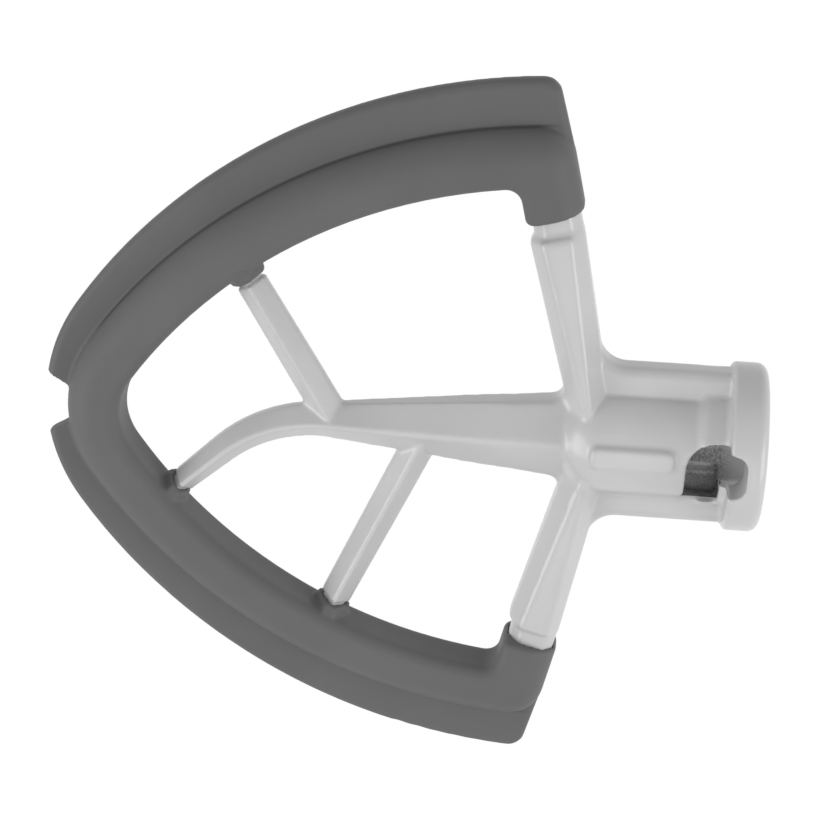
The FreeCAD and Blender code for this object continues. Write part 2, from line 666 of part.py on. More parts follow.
def cut_bore(body):
    """Blind shaft bore, and the keyway that leads the shaft's pin to the window."""
    profile = draw(new_sketch(body, "XZ_Plane", "bore_profile"), [
        (ON_AXIS, ON_AXIS, None),
        ("bore_radius", ON_AXIS, None),
        ("bore_radius", "-bore_depth", None),
        (ON_AXIS, "-bore_point_depth", None),
    ])
    add_feature(body, "Groove", "bore", Profile=profile, ReferenceAxis=(profile, ["V_Axis"]), Angle=360.0)
    doc.recompute()
    keyway = new_sketch(body, "XY_Plane", "keyway_outline")
    keyway.AttachmentOffset = FreeCAD.Placement(
        FreeCAD.Vector(), FreeCAD.Rotation(FreeCAD.Vector(0, 0, 1), size("keyway_angle")))
    keyway.setExpression("AttachmentOffset.Rotation.Angle", cell("keyway_angle"))
    draw(keyway, [
        ("-keyway_half", ON_AXIS, None),
        ("-keyway_half", "-keyway_radius", None),
        ("keyway_half", "-keyway_radius", None),
        ("keyway_half", ON_AXIS, None),
    ])
    slot = add_feature(body, "Pocket", "keyway", Profile=keyway)
    slot.setExpression("Length", cell("keyway_depth"))
    doc.recompute()


def cut_track(body):
    """Part-round track behind the window, in which the shaft's pin turns from the keyway to the notch."""
    track = new_sketch(body, "XZ_Plane", "track_profile")
    track.AttachmentOffset = FreeCAD.Placement(
        FreeCAD.Vector(), FreeCAD.Rotation(FreeCAD.Vector(0, 1, 0), size("track_middle")))
    track.setExpression("AttachmentOffset.Rotation.Angle", cell("track_middle"))
    draw(track, [
        (ON_AXIS, "-window_top_depth", None),
        ("track_radius", "-window_top_depth", None),
        ("track_radius", "-window_bottom_depth", None),
        (ON_AXIS, "-window_bottom_depth", None),
    ])
    groove = add_feature(body, "Groove", "track", Profile=track, ReferenceAxis=(track, ["V_Axis"]), Midplane=True)
    groove.setExpression("Angle", cell("track_turn"))
    doc.recompute()


def cut_window(body):
    """Bayonet window through the front wall, with the notch that seats the pin and the hook that keeps it."""
    plan = draw(front_sketch(body, "window_outline", "window_floor"), [
        ("window_right", "-window_top_depth", None),
        ("hook_tip", "-window_top_depth", None),
        ("hook_tip", "-hook_top_depth", None),
        ("notch_right", "-hook_top_depth", None),
        ("notch_right", "-notch_shoulder_depth", ("notch_corner", LEFT_TURN)),
        ("notch_right_round", "-notch_top_depth", None),
        ("notch_left_round", "-notch_top_depth", ("notch_corner", LEFT_TURN)),
        ("-notch_left", "-notch_shoulder_depth", None),
        ("-notch_left", "-hook_top_depth", None),
        ("-window_left", "-hook_top_depth", None),
        ("-window_left", "-window_shoulder_depth", ("window_corner", LEFT_TURN)),
        ("window_round_x", "-window_bottom_depth", None),
        ("window_right", "-window_bottom_depth", None),
    ])
    window = add_feature(body, "Pocket", "window", Profile=plan, Reversed=True)
    window.setExpression("Length", cell("window_cut"))
    doc.recompute()


def add_sleeve(body):
    """Sleeve over the metal loop: its plan from arm to arm, thickened, with full outer and softer inner edges."""
    outer_half = [
        ("mouth_top_x", "-mouth_top_depth", None),
        ("outer_corner_x", "-outer_corner_depth", ("outer_radius", RIGHT_TURN)),
        ("outer_tip_x", "-outer_tip_depth", ("outer_tip_radius", RIGHT_TURN)),
    ]
    inner_half = [
        ("mouth_low_x", "-mouth_low_depth", None),
        ("inner_corner_x", "-inner_corner_depth", ("inner_radius", RIGHT_TURN)),
        ("inner_tip_x", "-inner_tip_depth", ("inner_tip_radius", RIGHT_TURN)),
    ]
    plan = front_sketch(body, "sleeve_outline", "sleeve_shift")
    draw(plan, mirrored(outer_half) + returning(mirrored(inner_half)))
    blank = add_pad(body, "sleeve_blank", plan, "sleeve_thickness", symmetric=True)
    outer_corners = add_fillet(body, "sleeve_outer_corners", blank, "sleeve_outer_corner", upright_at(
        ("outer_corner_x", "outer_corner_depth")))
    inner_corners = add_fillet(body, "sleeve_inner_corners", outer_corners, "sleeve_inner_corner", upright_at(
        ("inner_corner_x", "inner_corner_depth")))
    outer_edges = add_fillet(body, "sleeve_outer_edges", inner_corners, "sleeve_outer_round", rim(
        ["-sleeve_front"], round_of("outer_tip_radius")))
    heel_edges = add_fillet(body, "sleeve_heel_edges", outer_edges, "sleeve_heel_round", rim(
        ["sleeve_back"], round_of("outer_tip_radius")))
    inner_edges = add_fillet(body, "sleeve_inner_edges", heel_edges, "sleeve_inner_round", rim(
        ["-sleeve_front"], round_of("inner_tip_radius")))
    back_edges = add_fillet(body, "sleeve_back_edges", inner_edges, "sleeve_back_round", rim(
        ["sleeve_back"], round_of("inner_tip_radius")))
    add_fillet(body, "sleeve_mouths", back_edges, "sleeve_mouth_round", in_mouth)


def in_mouth(edge):
    """Test for edges that lie wholly in the end face of the sleeve on either arm."""
    slope = math.radians(size("arm_slope"))
    middle = edge.valueAt((edge.FirstParameter + edge.LastParameter) / 2)
    for point in [vertex.Point for vertex in edge.Vertexes] + [middle]:
        along = abs(point.x) * math.cos(slope) - (point.z + size("arm_depth")) * math.sin(slope)
        if abs(along - size("mouth_reach")) > TINY:
            return False
    return True


def returning(corners):
    """The same open outline walked from its last corner back to its first."""
    bows = [bow for x, y, bow in corners]
    back = []
    for index in range(len(corners) - 1, -1, -1):
        x, y, bow = corners[index]
        before = bows[index - 1] if index else None
        back.append((x, y, (before[0], -before[1]) if before else None))
    return back


def add_fin(body):
    """Right-hand fin: a flat blade along the sleeve, cut square with the arm above and by the notch at the tip."""
    plan = draw(front_sketch(body, "fin_outline", "-fin_setback"), [
        ("notch_root_half", "-notch_root_depth", None),
        ("tip_notch_half", "-notch_end_depth", ("fin_tip_radius", LEFT_TURN)),
        ("fin_tangent_x", "-fin_tangent_depth", ("fin_radius", LEFT_TURN)),
        ("fin_end_x", "-fin_end_depth", None),
        ("fin_foot_x", "-fin_foot_depth", ("arch_radius", RIGHT_TURN)),
        ("arch_tip_x", "-arch_tip_depth", None),
    ])
    blank = add_pad(body, "fin_blank", plan, "fin_thickness", symmetric=True)
    corner = add_fillet(body, "fin_corner_round", blank, "fin_corner", upright_at(("fin_end_x", "fin_end_depth")))
    front = add_fillet(
        body, "fin_front_edge", corner, "fin_front_round", rim(["-fin_front"], round_of("fin_radius")))
    add_fillet(body, "fin_back_edge", front, "fin_back_round", rim(["fin_back"], round_of("fin_radius")))


def add_boss(body, name, sizes, ray, side=""):
    """Flared collar of the soft edge round a bar, from its mouth to its root inside the sleeve."""
    turn = f"{side}{ray}_turn"
    mouth_cut, root_cut = sizes + "_mouth_cut", sizes + "_root_cut"
    mouth = new_section(body, name + "_mouth", mouth_cut, f"{side}{ray}_mouth_x", ray + "_mouth_depth", turn)
    root = new_section(
        body, name + "_root", root_cut, f"{side}{ray}_root_x", ray + "_root_depth", turn, "sleeve_shift")
    add_loft(body, name, [mouth, root])


def new_body(name, *steps):
    body = doc.addObject("PartDesign::Body", name)
    for step in steps:
        step(body)
    return body


def build_edge(frame):
    """Soft edge: sleeve, two fins and three collars as one blank, less the casting that fills it."""
    sleeve = new_body("sleeve", add_sleeve)
    add_boss(sleeve, "stem_collar", "stem_boss", "stem_run")
    add_boss(sleeve, "left_collar", "bar_boss", "left_bar", "-")
    add_boss(sleeve, "right_collar", "bar_boss", "right_bar")
    fin = new_body("fin", add_fin)
    other_fin = doc.addObject("Part::Mirroring", "other_fin")
    other_fin.Source = fin
    other_fin.Normal = FreeCAD.Vector(1, 0, 0)
    blank = doc.addObject("Part::MultiFuse", "edge_blank")
    blank.Shapes = [sleeve, fin, other_fin]
    edge = doc.addObject("Part::Cut", "flex_edge")
    edge.Base = blank
    edge.Tool = frame
    doc.recompute()
    return edge


def check_parts(parts):
    """Stops the build on any failed feature, and on a sub-part that isn't one valid solid."""
    for thing in doc.Objects:
        if "Invalid" in thing.State or "Error" in thing.State:
            raise RuntimeError(f"{thing.Label} failed")
    for part in parts:
        if part.Shape.isNull() or not part.Shape.isValid() or len(part.Shape.Solids) != 1:
            raise RuntimeError(f"{part.Label} isn't one valid solid")


fill_sheet()
frame = new_body(
    "cast_frame", add_hub, add_arms, add_stem, add_bars, add_loop, add_rib, cut_bore, cut_track, cut_window)
edge = build_edge(frame)
check_parts([frame, edge])
os.makedirs("parts", exist_ok=True)
for part in (frame, edge):
    part.Shape.exportStep(f"parts/{part.Label}.step")
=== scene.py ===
import math

import bpy
from mathutils import Matrix, Vector
from mathutils.bvhtree import BVHTree


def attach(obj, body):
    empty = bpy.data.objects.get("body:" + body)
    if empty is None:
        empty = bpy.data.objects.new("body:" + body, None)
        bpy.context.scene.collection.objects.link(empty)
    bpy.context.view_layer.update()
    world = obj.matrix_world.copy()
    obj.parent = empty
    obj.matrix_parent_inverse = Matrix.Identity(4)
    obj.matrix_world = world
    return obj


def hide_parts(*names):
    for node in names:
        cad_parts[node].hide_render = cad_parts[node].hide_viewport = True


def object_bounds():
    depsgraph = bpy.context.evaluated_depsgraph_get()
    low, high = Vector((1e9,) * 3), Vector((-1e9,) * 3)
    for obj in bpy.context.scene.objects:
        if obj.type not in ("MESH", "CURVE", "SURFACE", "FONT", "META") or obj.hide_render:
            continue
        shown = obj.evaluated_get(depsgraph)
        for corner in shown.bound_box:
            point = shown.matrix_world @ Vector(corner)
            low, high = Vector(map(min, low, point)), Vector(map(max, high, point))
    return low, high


# Flat beater of a stand mixer: one skin for its coated casting and one for its soft edge, in a white studio.
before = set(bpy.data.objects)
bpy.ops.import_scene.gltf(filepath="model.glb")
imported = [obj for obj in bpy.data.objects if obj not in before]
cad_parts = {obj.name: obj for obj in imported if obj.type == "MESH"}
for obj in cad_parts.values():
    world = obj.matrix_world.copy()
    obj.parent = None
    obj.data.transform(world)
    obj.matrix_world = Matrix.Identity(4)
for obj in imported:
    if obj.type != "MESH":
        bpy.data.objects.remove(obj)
cad_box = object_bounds()
casting_solid = BVHTree.FromObject(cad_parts["cast_frame"], bpy.context.evaluated_depsgraph_get())

MM = 0.001
BODY = "root"

# camera: how far it stands off, how it is turned, and the point of the beater's middle plane that it aims at
CAMERA_DISTANCE = 423.3 * MM
CAMERA_LIFT = math.radians(21.94)
CAMERA_SWING = math.radians(4.30)
CAMERA_ROLL = math.radians(3.77)
CAMERA_NEAREST = 10 * MM
AIM_DEPTH = 68.97 * MM
AIM_SIDE = 2.89 * MM
SENSOR_WIDTH = 36.0
FOCAL_SHARE = 2.6191

# studio: the floor, the light all round, and the soft boxes by name, place, width and watts
FLOOR_DROP = 700 * MM
FLOOR_SIZE = 1600 * MM
FLOOR_WHITE = 0.92
FLOOR_ROUGHNESS = 0.9
FLOOR_GLOW_SHARE = 0.8
WHITE = (1.0, 1.0, 1.0, 1.0)
WORLD_STRENGTH = 0.49
SOFTBOXES = [
    ("collar_softbox", (0.09, -0.35, 0.80), 0.6, 3.9),
    ("tip_softbox", (0.08, -0.32, -0.66), 0.45, 2.2),
    ("front_softbox", (0.20, -0.80, 0.05), 0.6, 1.1),
]

# coating: its greys, how broadly they drift, its gloss, and the fine orange peel
COATING_GREYS = (0.545, 0.575)
COATING_DRIFT = 60.0
COATING_DRIFT_RANGE = (0.35, 0.65)
COATING_ROUGHNESS = 0.36
COATING_GLOSS = 0.35
COATING_GLOSS_ROUGHNESS = 0.16
PEEL_SCALE = 420.0
PEEL_STRENGTH = 0.06
PEEL_HEIGHT = 0.2 * MM

# bare metal in the shaft bore, which roughens with depth, and in the track, which darkens towards the
# window: darker bare metal there and partly painted shade
BARE_METALLIC = 0.35
BARE_ADDED_ROUGHNESS = 0.22
SMOOTH_BORE_GREYS = (0.48, 0.54)
SMOOTH_BORE_DRIFT = 300.0
ROUGH_BORE_GREYS = (0.20, 0.62)
# the pale track greys are painted lighter against the shade that falls on them; the dark track greys are
# darker bare metal and partly painted shade
PALE_TRACK_GREYS = (0.34, 0.72)
DARK_TRACK_GREYS = (0.04, 0.14)
SPECKLE_SCALE = 3200.0
SPECKLE_STRETCH = (0.6, 0.6, 1.6)
SPECKLE_RANGE = (0.36, 0.68)
STREAK_SCALE = 2400.0
STREAK_STRETCH = (1.0, 1.0, 0.2)
STREAK_RANGE = (0.34, 0.70)
BORE_BARE_RADIUS = 6.9 * MM
BORE_BARE_DEPTH = 38 * MM
BORE_SMOOTH_DEPTH = 5.0 * MM
BORE_ROUGH_REACH = 2.6 * MM
TRACK_BARE_RADIUS = 10.4 * MM
TRACK_PALE_FRONT = -1.5 * MM
TRACK_DARK_REACH = 3.5 * MM
TRACK_TOP_DEPTH = 8.0 * MM
TRACK_END_DEPTH = 15.2 * MM

# silicone: its greys, its roughness and the fine grain of the mould
SILICONE_GREYS = (0.125, 0.138)
SILICONE_DRIFT = 45.0
SILICONE_DRIFT_RANGE = (0.3, 0.7)
SILICONE_ROUGHNESS = (0.52, 0.60)
SILICONE_ROUGHNESS_DRIFT = 240.0
SILICONE_SPECULAR = 0.22
MOULD_GRAIN_SCALE = 2600.0
MOULD_GRAIN_STRENGTH = 0.12
MOULD_GRAIN_HEIGHT = 0.05 * MM

# how many layers of detail the noise has in a drift of colour and in a fine grain
DRIFT_DETAIL = 3.0
GRAIN_DETAIL = 2.0

# thin dark line of painted shade in the crease between sleeve and fin: the circle that it follows, and where
# it shows
ARCH_OFFSET = 51.5 * MM
ARCH_DEPTH = 40.0 * MM
CREASE_RADIUS = 113.55 * MM
CREASE_HALF_WIDTH = 0.38 * MM
CREASE_SIDE = 14.0 * MM
CREASE_TOP = 42.0 * MM
CREASE_FADE = 5.0 * MM
CREASE_SHADE_STRENGTH = 0.7
CREASE_SHADE_GREY = 0.02

# how finely the skins are drawn, which share of their triangles is kept, and what counts as touching
MERGE_GAP = 0.002 * MM
CASTING_GRAIN = 0.36 * MM
CASTING_KEPT_SHARE = 0.44
EDGE_GRAIN = 0.38 * MM
EDGE_KEPT_SHARE = 0.48
CONTACT_GAP = 0.3 * MM

# how many rounds of smoothing each place gets, and how far a point moves in a round
SMOOTHING_FACTOR = 0.5
CASTING_EDGE_ROUNDS = 2
HUB_ROUNDS = 45
BAR_ROOT_ROUNDS = 8
POCKET_ROUNDS = 60
RIB_ROUNDS = 10
STEP_ROUNDS = 25
EDGE_ROUNDS = 1
COLLAR_ROUNDS = 3
FIN_RIM_ROUNDS = 14

# places that flow softly into each other, by depth below the bore's mouth or distance from its axis
HUB_FLOW_START = 33.5 * MM
HUB_FLOW_FULL = 37.0 * MM
STEM_FLOW_FULL = 46.0 * MM
STEM_FLOW_END = 56.0 * MM
POCKET_FLOW_START = 8.0 * MM
POCKET_FLOW_FULL = 9.4 * MM
POCKET_FLOW_EDGE = 11.6 * MM
POCKET_FLOW_END = 13.0 * MM
POCKET_TOP_DEPTH = 8.0 * MM
STEP_FLOW_TOP = 8.6 * MM
STEP_FLOW_START = 9.6 * MM
STEP_FLOW_FULL = 12.6 * MM
STEP_FLOW_END = 14.0 * MM
STEP_FLOW_SIDE = 5.5 * MM
RIB_FLOW_HALF = 4.0 * MM
RIB_FLOW_START = 15.8 * MM
RIB_FLOW_END = 35.0 * MM

# outer rim of the fins, by distance from the middle of the arch
FIN_RIM_START = 120.2 * MM
FIN_RIM_FULL = 121.0 * MM

# places given as balls, each with its middle and radius
NECKS = [((-42.6 * MM, 0, -42.6 * MM), 10 * MM), ((42.6 * MM, 0, -42.6 * MM), 10 * MM)]
BAR_ROOTS = [((-4.5 * MM, 0, -86.5 * MM), 7 * MM), ((5.5 * MM, 0, -68 * MM), 7 * MM)]
COLLARS = [
    ((-29.9 * MM, 0, -102.1 * MM), 9 * MM),
    ((44.5 * MM, 0, -85.7 * MM), 9 * MM),
    ((17.6 * MM, 0, -117.1 * MM), 9 * MM),
]


def deselect_all():
    bpy.ops.object.select_all(action="DESELECT")


def new_material(name):
    """Material with a node tree that holds a surface shader and the output, and nothing else."""
    material = bpy.data.materials.new(name)
    material.use_nodes = True
    return material, material.node_tree, material.node_tree.nodes["Principled BSDF"]


def add_node(tree, kind, **settings):
    node = tree.nodes.new("ShaderNode" + kind)
    for setting, value in settings.items():
        setattr(node, setting, value)
    return node


def math_node(tree, operation, first, second=0.0):
    """Math node on one or two inputs, each a number or an output socket."""
    node = add_node(tree, "Math", operation=operation)
    for entry, value in enumerate((first, second)):
        if isinstance(value, float):
            node.inputs[entry].default_value = value
        else:
            tree.links.new(value, node.inputs[entry])
    return node.outputs[0]


def product(tree, first, *others):
    """Product of masks, which is 1 where all of them are."""
    for other in others:
        first = math_node(tree, "MULTIPLY", first, other)
    return first


def distance(tree, across, along):
    """Distance covered by two steps at a right angle."""
    squares = [math_node(tree, "POWER", step, 2.0) for step in (across, along)]
    return math_node(tree, "SQRT", math_node(tree, "ADD", *squares))


def share_past(tree, value, start, reach):
    """Share from 0 to 1 by which a value has passed its start, within the reach."""
    share = math_node(tree, "DIVIDE", math_node(tree, "SUBTRACT", value, start), reach)
    return math_node(tree, "MINIMUM", math_node(tree, "MAXIMUM", share, 0.0), 1.0)


def noise(tree, place, scale, stretch=None, detail=DRIFT_DETAIL):
    """Noise on the piece's own coordinates, with an optional stretch along its axes."""
    if stretch:
        mapping = add_node(tree, "Mapping")
        mapping.inputs["Scale"].default_value = stretch
        tree.links.new(place, mapping.inputs["Vector"])
        place = mapping.outputs["Vector"]
    texture = add_node(tree, "TexNoise")
    texture.inputs["Scale"].default_value = scale
    texture.inputs["Detail"].default_value = detail
    tree.links.new(place, texture.inputs["Vector"])
    return texture.outputs["Fac"]


def ramp(tree, factor, greys, limits=(0.0, 1.0)):
    """Ramp from one grey to another between two limits of the factor."""
    node = add_node(tree, "ValToRGB")
    for stop, grey, limit in zip(node.color_ramp.elements, greys, limits):
        stop.position = limit
        stop.color = (grey, grey, grey, 1.0)
    tree.links.new(factor, node.inputs["Fac"])
    return node.outputs["Color"]


def mix_colour(tree, factor, first, second):
    """Mix of a colour with another colour or a plain grey."""
    node = add_node(tree, "Mix", data_type="RGBA")
    tree.links.new(factor, node.inputs["Factor"])
    tree.links.new(first, node.inputs["A"])
    if isinstance(second, float):
        node.inputs["B"].default_value = (second, second, second, 1.0)
    else:
        tree.links.new(second, node.inputs["B"])
    return node.outputs["Result"]


def bump(tree, height, strength, reach):
    node = add_node(tree, "Bump")
    node.inputs["Strength"].default_value = strength
    node.inputs["Distance"].default_value = reach
    tree.links.new(height, node.inputs["Height"])
    return node.outputs["Normal"]


def measures(tree, place):
    """How far a place lies to the side of the bore's axis, in front of it and below its mouth."""
    apart = add_node(tree, "SeparateXYZ")
    tree.links.new(place, apart.inputs["Vector"])
    front = math_node(tree, "MULTIPLY", apart.outputs["Y"], -1.0)
    depth = math_node(tree, "MULTIPLY", apart.outputs["Z"], -1.0)
    return apart.outputs["X"], front, depth


def bare_masks(tree, place):
    """Masks for the bore and the track, with the bore's roughening and the track's darkening towards the
    window, which is darker bare metal and partly painted shade.
    """
    side, front, depth = measures(tree, place)
    radius = distance(tree, side, front)
    bore = product(
        tree,
        math_node(tree, "LESS_THAN", radius, BORE_BARE_RADIUS),
        math_node(tree, "LESS_THAN", depth, BORE_BARE_DEPTH))
    track = product(
        tree,
        math_node(tree, "LESS_THAN", radius, TRACK_BARE_RADIUS),
        math_node(tree, "GREATER_THAN", depth, TRACK_TOP_DEPTH),
        math_node(tree, "LESS_THAN", depth, TRACK_END_DEPTH))
    roughened = share_past(tree, depth, BORE_SMOOTH_DEPTH, BORE_ROUGH_REACH)
    # share of darker bare metal and painted shade, growing towards the window
    darker_metal_and_shade = share_past(tree, front, TRACK_PALE_FRONT, TRACK_DARK_REACH)
    return bore, track, roughened, darker_metal_and_shade


def coated_casting():
    """Glossy pale grey coating with a faint orange peel, and bare metal in the bore and the track."""
    material, tree, shader = new_material("coated_casting")
    place = add_node(tree, "TexCoord").outputs["Object"]
    bore, track, roughened, darker_metal_and_shade = bare_masks(tree, place)
    bare = math_node(tree, "MAXIMUM", bore, track)
    coating = ramp(tree, noise(tree, place, COATING_DRIFT), COATING_GREYS, COATING_DRIFT_RANGE)
    speckle = noise(tree, place, SPECKLE_SCALE, SPECKLE_STRETCH)
    streaks = noise(tree, place, STREAK_SCALE, STREAK_STRETCH)
    smooth_bore = ramp(tree, noise(tree, place, SMOOTH_BORE_DRIFT), SMOOTH_BORE_GREYS)
    rough_bore = ramp(tree, speckle, ROUGH_BORE_GREYS, SPECKLE_RANGE)
    pale_track = ramp(tree, speckle, PALE_TRACK_GREYS, SPECKLE_RANGE)
    dark_track_and_shade = ramp(tree, streaks, DARK_TRACK_GREYS, STREAK_RANGE)
    bore_metal = mix_colour(tree, roughened, smooth_bore, rough_bore)
    # towards the window the track turns darker: darker bare metal, and partly painted shade
    track_metal = mix_colour(tree, darker_metal_and_shade, pale_track, dark_track_and_shade)
    metal = mix_colour(tree, bore, track_metal, bore_metal)
    tree.links.new(mix_colour(tree, bare, coating, metal), shader.inputs["Base Color"])
    tree.links.new(math_node(tree, "MULTIPLY", bare, BARE_METALLIC), shader.inputs["Metallic"])
    added = math_node(tree, "MULTIPLY", bare, BARE_ADDED_ROUGHNESS)
    tree.links.new(math_node(tree, "ADD", added, COATING_ROUGHNESS), shader.inputs["Roughness"])
    peel = noise(tree, place, PEEL_SCALE, detail=GRAIN_DETAIL)
    tree.links.new(bump(tree, peel, PEEL_STRENGTH, PEEL_HEIGHT), shader.inputs["Normal"])
    shader.inputs["Coat Weight"].default_value = COATING_GLOSS
    shader.inputs["Coat Roughness"].default_value = COATING_GLOSS_ROUGHNESS
    return material


def painted_crease_shade(tree, place):
    """Painted shade: a thin dark line in the crease where the front of each fin leaves the sleeve, faded out
    at both ends.
    """
    across, front, depth = measures(tree, place)
    side = math_node(tree, "ABSOLUTE", across)
    out = math_node(tree, "ADD", side, ARCH_OFFSET)
    down = math_node(tree, "SUBTRACT", depth, ARCH_DEPTH)
    past_line = math_node(tree, "SUBTRACT", distance(tree, out, down), CREASE_RADIUS)
    nearness = math_node(tree, "MULTIPLY", math_node(tree, "ABSOLUTE", past_line), -1.0)
    return product(
        tree,
        share_past(tree, nearness, -CREASE_HALF_WIDTH, CREASE_HALF_WIDTH),
        math_node(tree, "GREATER_THAN", front, 0.0),
        share_past(tree, side, CREASE_SIDE, CREASE_FADE),
        share_past(tree, depth, CREASE_TOP, CREASE_FADE))


def dark_silicone():
    """Matte dark grey silicone with the fine grain of its mould, and a thin line of painted shade in the
    crease.
    """
    material, tree, shader = new_material("dark_silicone")
    place = add_node(tree, "TexCoord").outputs["Object"]
    grey = ramp(tree, noise(tree, place, SILICONE_DRIFT), SILICONE_GREYS, SILICONE_DRIFT_RANGE)
    # painted shade: the base colour goes darker along the crease line
    crease = math_node(tree, "MULTIPLY", painted_crease_shade(tree, place), CREASE_SHADE_STRENGTH)
    tree.links.new(mix_colour(tree, crease, grey, CREASE_SHADE_GREY), shader.inputs["Base Color"])
    roughness = ramp(tree, noise(tree, place, SILICONE_ROUGHNESS_DRIFT), SILICONE_ROUGHNESS)
    tree.links.new(roughness, shader.inputs["Roughness"])
    grain = noise(tree, place, MOULD_GRAIN_SCALE, detail=GRAIN_DETAIL)
    tree.links.new(bump(tree, grain, MOULD_GRAIN_STRENGTH, MOULD_GRAIN_HEIGHT), shader.inputs["Normal"])
    shader.inputs["Specular IOR Level"].default_value = SILICONE_SPECULAR
    return material


def skin_of(node, name):
    """New piece with the skin of a CAD solid, its loose triangles joined."""
    deselect_all()
    piece = bpy.data.objects.new(name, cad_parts[node].data.copy())
    bpy.context.scene.collection.objects.link(piece)
    bpy.context.view_layer.objects.active = piece
    piece.select_set(True)
    bpy.ops.object.mode_set(mode="EDIT")
    bpy.ops.mesh.select_all(action="SELECT")
    bpy.ops.mesh.remove_doubles(threshold=MERGE_GAP)
    bpy.ops.object.mode_set(mode="OBJECT")
    return piece


def finish_with(piece, kind, **settings):
    """Adds a modifier to the piece and applies it."""
    modifier = piece.modifiers.new(kind.lower(), kind)
    for setting, value in settings.items():
        setattr(modifier, setting, value)
    bpy.context.view_layer.objects.active = piece
    bpy.ops.object.modifier_apply(modifier=modifier.name)


def weigh(piece, name, rule):
    """Vertex group in which each point has the share, from 0 to 1, that the rule gives for its place."""
    group = piece.vertex_groups.new(name=name)
    for point in piece.data.vertices:
        share = rule(point.co)
        if share > 0:
            group.add([point.index], share, "REPLACE")
    return group.name


def redraw(piece, grain, soft_places, kept_share):
    """Draws a skin afresh at an even grain, smooths it at each soft place and thins it out again.

    A soft place is a name, the rule that weighs its points, and how many rounds it gets.
    """
    finish_with(piece, "REMESH", mode="VOXEL", voxel_size=grain, use_smooth_shade=True)
    groups = [(weigh(piece, name, rule), rounds) for name, rule, rounds in soft_places]
    for group, rounds in groups:
        finish_with(piece, "SMOOTH", factor=SMOOTHING_FACTOR, iterations=rounds, vertex_group=group)
    finish_with(piece, "DECIMATE", ratio=kept_share)


def rise(value, start, end):
    """Soft step from 0 at the start to 1 at the end."""
    reach = min(max((value - start) / (end - start), 0.0), 1.0)
    return reach * reach * (3 - 2 * reach)


def near(balls):
    """Rule that gives 1 in the inner half of each ball, and falls to 0 at its skin."""
    def share(place):
        return max(rise(-(place - Vector(middle)).length, -radius, -radius / 2) for middle, radius in balls)
    return share


def hub_flow(place):
    """Rule for the stretch where the barrel and the roots of the arms run into the stem."""
    return rise(-place.z, HUB_FLOW_START, HUB_FLOW_FULL) * rise(place.z, -STEM_FLOW_END, -STEM_FLOW_FULL)


def pocket_flow(place):
    """Rule for the hollow between the barrel and the lip of the flange below the window."""
    if not POCKET_TOP_DEPTH < -place.z < HUB_FLOW_FULL:
        return 0.0
    past_barrel = rise(place.x, POCKET_FLOW_START, POCKET_FLOW_FULL)
    return past_barrel * rise(-place.x, -POCKET_FLOW_END, -POCKET_FLOW_EDGE)


def step_flow(place):
    """Rule for the slope from the step under the collar to the barrel, clear of the window."""
    if place.y < 0 and place.x > -STEP_FLOW_SIDE:
        return 0.0
    return rise(-place.z, STEP_FLOW_TOP, STEP_FLOW_START) * rise(place.z, -STEP_FLOW_END, -STEP_FLOW_FULL)


def rib_flow(place):
    """Rule for the rib on the front of the barrel."""
    on_rib = place.y < 0 and abs(place.x) < RIB_FLOW_HALF and RIB_FLOW_START < -place.z < RIB_FLOW_END
    return 1.0 if on_rib else 0.0


def away_from_necks(place):
    """Rule for all but the ends of the arms, where the casting's edges stay crisp."""
    return 1.0 - near(NECKS)(place)


def clear_of_casting(place):
    """Rule that gives 0 where a point of the soft edge touches the casting, and 1 elsewhere."""
    return 1.0 if casting_solid.find_nearest(place)[3] > CONTACT_GAP else 0.0


def collar_flow(place):
    """Rule for the collars round the bars and the stem's end, where they are clear of the casting."""
    share = near(COLLARS)(place)
    return share * clear_of_casting(place) if share else 0.0


def fin_rim(place):
    """Rule for the outer rim of the fins, by its distance from the middle of the arch that it follows."""
    reach = math.hypot(abs(place.x) + ARCH_OFFSET, -place.z - ARCH_DEPTH)
    return rise(reach, FIN_RIM_START, FIN_RIM_FULL)


def make_casting():
    """The casting with the soft edges that it has under its coating."""
    piece = skin_of("cast_frame", "coated_frame")
    soft_places = [
        ("hub", hub_flow, HUB_ROUNDS),
        ("bar_roots", near(BAR_ROOTS), BAR_ROOT_ROUNDS),
        ("pocket", pocket_flow, POCKET_ROUNDS),
        ("rib", rib_flow, RIB_ROUNDS),
        ("step", step_flow, STEP_ROUNDS),
        ("edges", away_from_necks, CASTING_EDGE_ROUNDS),
    ]
    redraw(piece, CASTING_GRAIN, soft_places, CASTING_KEPT_SHARE)
    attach(piece, BODY)
    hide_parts("cast_frame")
    return piece


def make_edge():
    """The soft moulding, rounded outside and at its collars, and as it is where it grips the casting."""
    piece = skin_of("flex_edge", "wiping_edge")
    soft_places = [
        ("collars", collar_flow, COLLAR_ROUNDS),
        ("outside", clear_of_casting, EDGE_ROUNDS),
        ("fin_rim", fin_rim, FIN_RIM_ROUNDS),
    ]
    redraw(piece, EDGE_GRAIN, soft_places, EDGE_KEPT_SHARE)
    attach(piece, BODY)
    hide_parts("flex_edge")
    return piece


def give(piece, material):
    piece.data.materials.clear()
    piece.data.materials.append(material)


def seen_ray(tree):
    """One for rays that show the background to the eye, straight, in gloss or through glass."""
    path = add_node(tree, "LightPath")
    seen = math_node(tree, "MAXIMUM", path.outputs["Is Camera Ray"], path.outputs["Is Glossy Ray"])
    return math_node(tree, "MAXIMUM", seen, path.outputs["Is Transmission Ray"])


def mix_shaders(tree, factor, first, second, output):
    """Mix of two shaders, led to the output node of that name."""
    mix = add_node(tree, "MixShader")
    for entry, socket in enumerate((factor, first.outputs[0], second.outputs[0])):
        tree.links.new(socket, mix.inputs[entry])
    tree.links.new(mix.outputs[0], tree.nodes[output].inputs["Surface"])


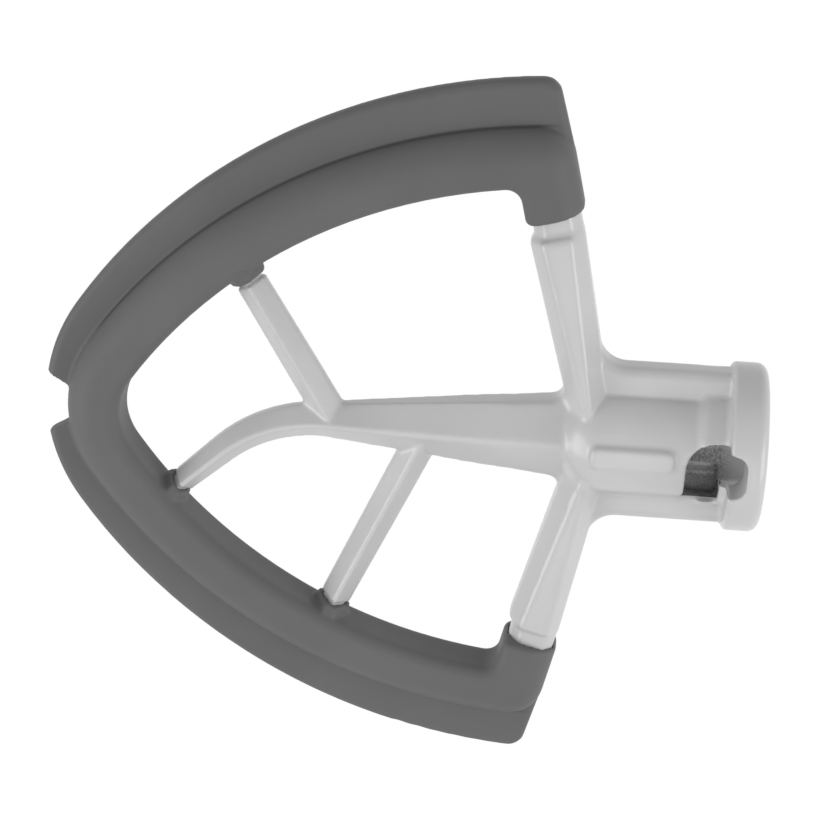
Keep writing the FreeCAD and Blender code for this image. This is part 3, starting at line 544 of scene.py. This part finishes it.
def pale_floor():
    """Pale matt floor that takes the shadow, and glows towards white where the eye sees it."""
    material, tree, shader = new_material("pale_floor")
    shader.inputs["Base Color"].default_value = (FLOOR_WHITE, FLOOR_WHITE, FLOOR_WHITE, 1.0)
    shader.inputs["Roughness"].default_value = FLOOR_ROUGHNESS
    glow = add_node(tree, "Emission")
    share = math_node(tree, "MULTIPLY", seen_ray(tree), FLOOR_GLOW_SHARE)
    mix_shaders(tree, share, shader, glow, "Material Output")
    return material


def lay_floor():
    deselect_all()
    height = cad_box[0][2] - FLOOR_DROP
    bpy.ops.mesh.primitive_plane_add(size=FLOOR_SIZE, location=(0, 0, height))
    floor = bpy.context.object
    floor.name = "floor"
    give(floor, pale_floor())


def light_world():
    """Soft light all round for the object, and plain white where the eye sees the background."""
    world = bpy.data.worlds.new("studio")
    bpy.context.scene.world = world
    world.use_nodes = True
    tree = world.node_tree
    soft_light = tree.nodes["Background"]
    soft_light.inputs["Color"].default_value = WHITE
    soft_light.inputs["Strength"].default_value = WORLD_STRENGTH
    backdrop = add_node(tree, "Background")
    backdrop.inputs["Color"].default_value = WHITE
    mix_shaders(tree, seen_ray(tree), soft_light, backdrop, "World Output")


def light_studio():
    """Square soft boxes that all point at the middle of the beater."""
    middle = Vector((0, 0, -AIM_DEPTH))
    for name, place, width, watts in SOFTBOXES:
        deselect_all()
        bpy.ops.object.light_add(type="AREA", location=place)
        lamp = bpy.context.object
        lamp.name = name
        lamp.data.size = width
        lamp.data.energy = watts
        lamp.rotation_euler = (middle - Vector(place)).to_track_quat("-Z", "Y").to_euler()


def from_photo_axes(along, upward, towards):
    """Row coordinates of a direction given along the hub, up the picture and towards the viewer."""
    return Vector((-upward, -towards, along))


def place_camera():
    """Camera where the photo was taken from, worked out along the hub, up and towards the viewer."""
    back = Vector((
        math.sin(CAMERA_SWING),
        math.sin(CAMERA_LIFT) * math.cos(CAMERA_SWING),
        math.cos(CAMERA_LIFT) * math.cos(CAMERA_SWING)))
    hub = Vector((1, 0, 0))
    level = (hub - back * hub.dot(back)).normalized()
    upright = back.cross(level)
    right = level * math.cos(CAMERA_ROLL) + upright * math.sin(CAMERA_ROLL)
    up = upright * math.cos(CAMERA_ROLL) - level * math.sin(CAMERA_ROLL)
    stand = Vector((-AIM_DEPTH, AIM_SIDE, 0)) + back * CAMERA_DISTANCE
    turn = Matrix([from_photo_axes(*axis) for axis in (right, up, back)]).transposed()
    camera_data = bpy.data.cameras.new("camera")
    camera_data.sensor_width = SENSOR_WIDTH
    camera_data.sensor_fit = "HORIZONTAL"
    camera_data.lens = SENSOR_WIDTH * FOCAL_SHARE
    camera_data.clip_start = CAMERA_NEAREST
    camera = bpy.data.objects.new("camera", camera_data)
    bpy.context.scene.collection.objects.link(camera)
    camera.matrix_world = Matrix.Translation(from_photo_axes(*stand)) @ turn.to_4x4()
    bpy.context.scene.camera = camera


bpy.context.scene.view_settings.view_transform = "Standard"
give(make_casting(), coated_casting())
give(make_edge(), dark_silicone())
lay_floor()
light_world()
light_studio()
place_camera()
